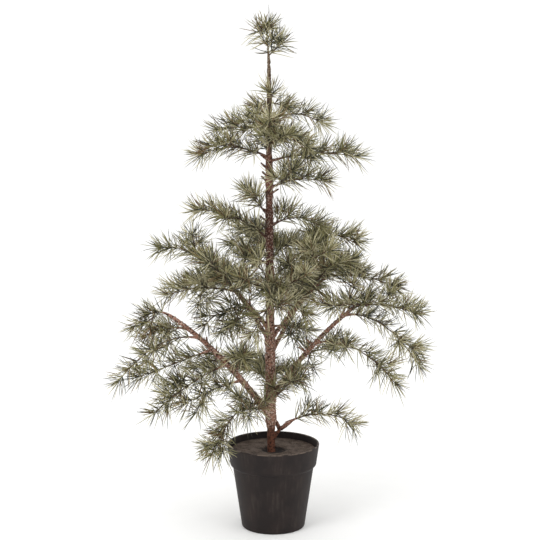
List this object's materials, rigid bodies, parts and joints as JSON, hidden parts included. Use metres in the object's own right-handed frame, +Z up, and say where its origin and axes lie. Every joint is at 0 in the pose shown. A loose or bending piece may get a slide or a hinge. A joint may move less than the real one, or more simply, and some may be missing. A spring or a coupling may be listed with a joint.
{
  "type": "artificial deodar cedar tree in a pot",
  "caption": "Artificial deodar cedar with a wrapped trunk, spreading boughs and tufted needle sprays, standing in a tapered nursery pot.",
  "frame": {"origin": "centre of the flat underside of the pot", "axes": "+Z up along the trunk, +X to the right and +Y away from the viewer in the picture"},
  "size_m": [0.4941, 0.3442, 0.7857],
  "materials": {
    "pot_plastic": "matt charcoal brown, faintly dusty",
    "fill": "rough brown-grey weighted fill",
    "bark": "matt reddish-brown wrapped bark with pale flecks",
    "needles": "matt olive grey-green needles"
  },
  "bodies": {
    "root": {"back_left_tip": "needles", "back_left_up": "needles", "back_right_tip": "needles", "back_right_up": "needles", "bough_back_left": "bark", "bough_back_right": "bark", "bough_foot_right": "bark", "bough_low_left": "bark", "bough_low_right": "bark", "bough_mid_left": "bark", "bough_mid_right": "bark", "collar": "needles", "fill": "fill", "foot_back": "needles", "foot_left": "needles", "foot_right": "needles", "foot_right_front": "needles", "front": "needles", "leader": "needles", "low_left_back": "needles", "low_left_hang": "needles", "low_left_inner": "needles", "low_left_long": "needles", "low_left_near": "needles", "low_left_tip": "needles", "low_left_under": "needles", "low_left_upper": "needles", "low_right_dark": "needles", "low_right_inner": "needles", "low_right_long": "needles", "low_right_near": "needles", "low_right_tip": "needles", "low_right_up": "needles", "mid_left_far": "needles", "mid_left_long": "needles", "mid_left_near": "needles", "mid_left_tip": "needles", "mid_left_under": "needles", "mid_right_front": "needles", "mid_right_high": "needles", "mid_right_near": "needles", "mid_right_tip": "needles", "pot": "pot_plastic", "top_back": "needles", "top_front": "needles", "top_left_high": "needles", "top_left_lower": "needles", "top_left_upper": "needles", "top_right_long": "needles", "top_right_low": "needles", "top_right_near": "needles", "top_right_upper": "needles", "trunk": "bark", "upper_back_left": "needles", "upper_back_right": "needles", "upper_left_high": "needles", "upper_left_long": "needles", "upper_left_near": "needles", "upper_right_arch": "needles", "upper_right_long": "needles"}
  },
  "joints": []
}
